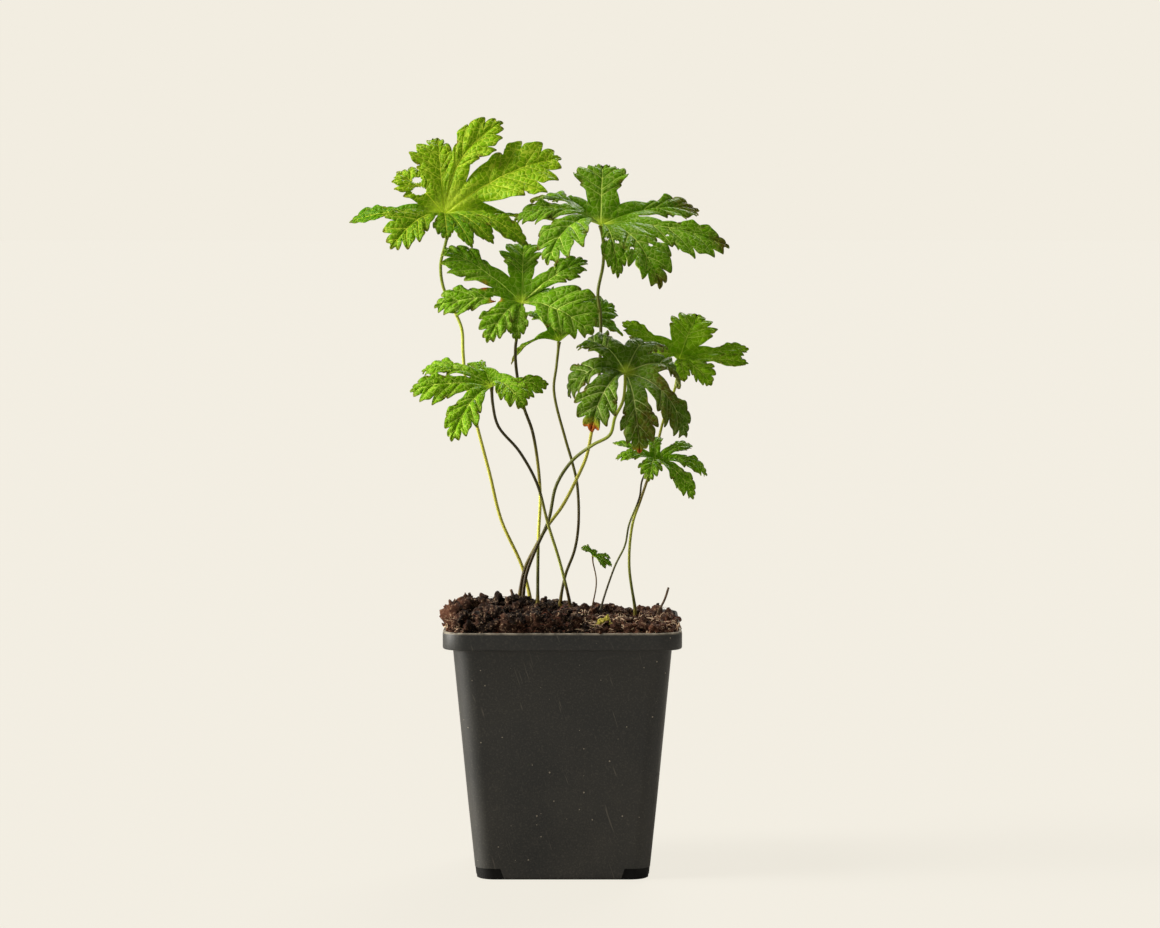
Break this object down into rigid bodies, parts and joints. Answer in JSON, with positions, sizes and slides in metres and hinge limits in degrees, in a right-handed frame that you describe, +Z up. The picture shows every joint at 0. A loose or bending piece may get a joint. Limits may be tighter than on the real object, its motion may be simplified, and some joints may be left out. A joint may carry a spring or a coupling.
{
  "type": "potted hardy geranium plant",
  "caption": "Young hardy geranium with deeply lobed toothed leaves on thin stalks, growing in a square black nursery pot filled with compost",
  "frame": {"origin": "centre of the pot's base, on the surface the pot stands on", "axes": "+Z up along the pot's axis; -Y is the front face of the pot, the side that faces the viewer; +X is to the viewer's right"},
  "size_m": [0.1553, 0.09, 0.2891],
  "materials": {
    "pot": "satin",
    "soil": "matte",
    "young_leaf": "matte",
    "leaf": "matte",
    "dark_leaf": "matte",
    "dead_stalk": "matte"
  },
  "bodies": {
    "root": {"pot": "pot", "soil": "soil", "leaf_top_left": "young_leaf", "leaf_top": "leaf", "leaf_left": "leaf", "leaf_centre_back": "dark_leaf", "leaf_low_left": "leaf", "leaf_low_right": "dark_leaf", "leaf_far_right": "leaf", "leaf_small": "dark_leaf", "leaf_seedling": "dark_leaf", "stub_left": "dead_stalk", "stub_right": "dead_stalk"}
  },
  "joints": []
}
